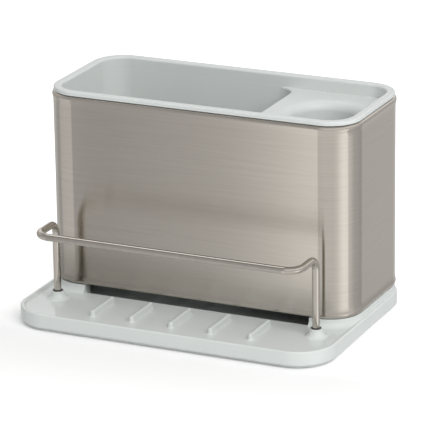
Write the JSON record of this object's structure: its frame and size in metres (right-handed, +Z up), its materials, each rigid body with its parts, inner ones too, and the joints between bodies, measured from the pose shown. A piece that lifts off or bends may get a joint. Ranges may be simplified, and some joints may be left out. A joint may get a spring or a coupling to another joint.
{
  "type": "sink organizer",
  "caption": "Sink caddy in a brushed steel sleeve on a plastic drip tray, with a wire towel rail across the front.",
  "frame": {"origin": "middle of the drip tray's footprint, on the surface it stands on", "axes": "+X along the long side to the viewer's right, +Y to the back, +Z up; the rail and ribs are at the front, -Y"},
  "size_m": [0.25, 0.17, 0.1665],
  "materials": {
    "tray_plastic": "gloss pale grey-green moulding",
    "caddy_plastic": "satin pale grey moulding",
    "sleeve_steel": "brushed across the front",
    "wire_steel": "satin drawn wire",
    "bush_rubber": "matt black",
    "foot_rubber": "matt grey"
  },
  "bodies": {
    "tray": {"drip_tray": "tray_plastic", "foot_front_left": "foot_rubber", "foot_front_right": "foot_rubber", "foot_back_left": "foot_rubber", "foot_back_right": "foot_rubber", "rail_bush_left": "bush_rubber", "rail_bush_right": "bush_rubber"},
    "rail": {"rail": "wire_steel"},
    "sleeve": {"sleeve": "sleeve_steel"},
    "caddy": {"caddy": "caddy_plastic"}
  },
  "joints": [
    {"name": "rail_lift", "type": "slide", "parent": "tray", "child": "rail", "axis": [0, 0, 1], "range_m": [0, 0.03]},
    {"name": "sleeve_lift", "type": "slide", "parent": "tray", "child": "sleeve", "axis": [0, 0, 1], "range_m": [0, 0.08]},
    {"name": "caddy_lift", "type": "slide", "parent": "sleeve", "child": "caddy", "axis": [0, 0, 1], "range_m": [0, 0.16]}
  ]
}
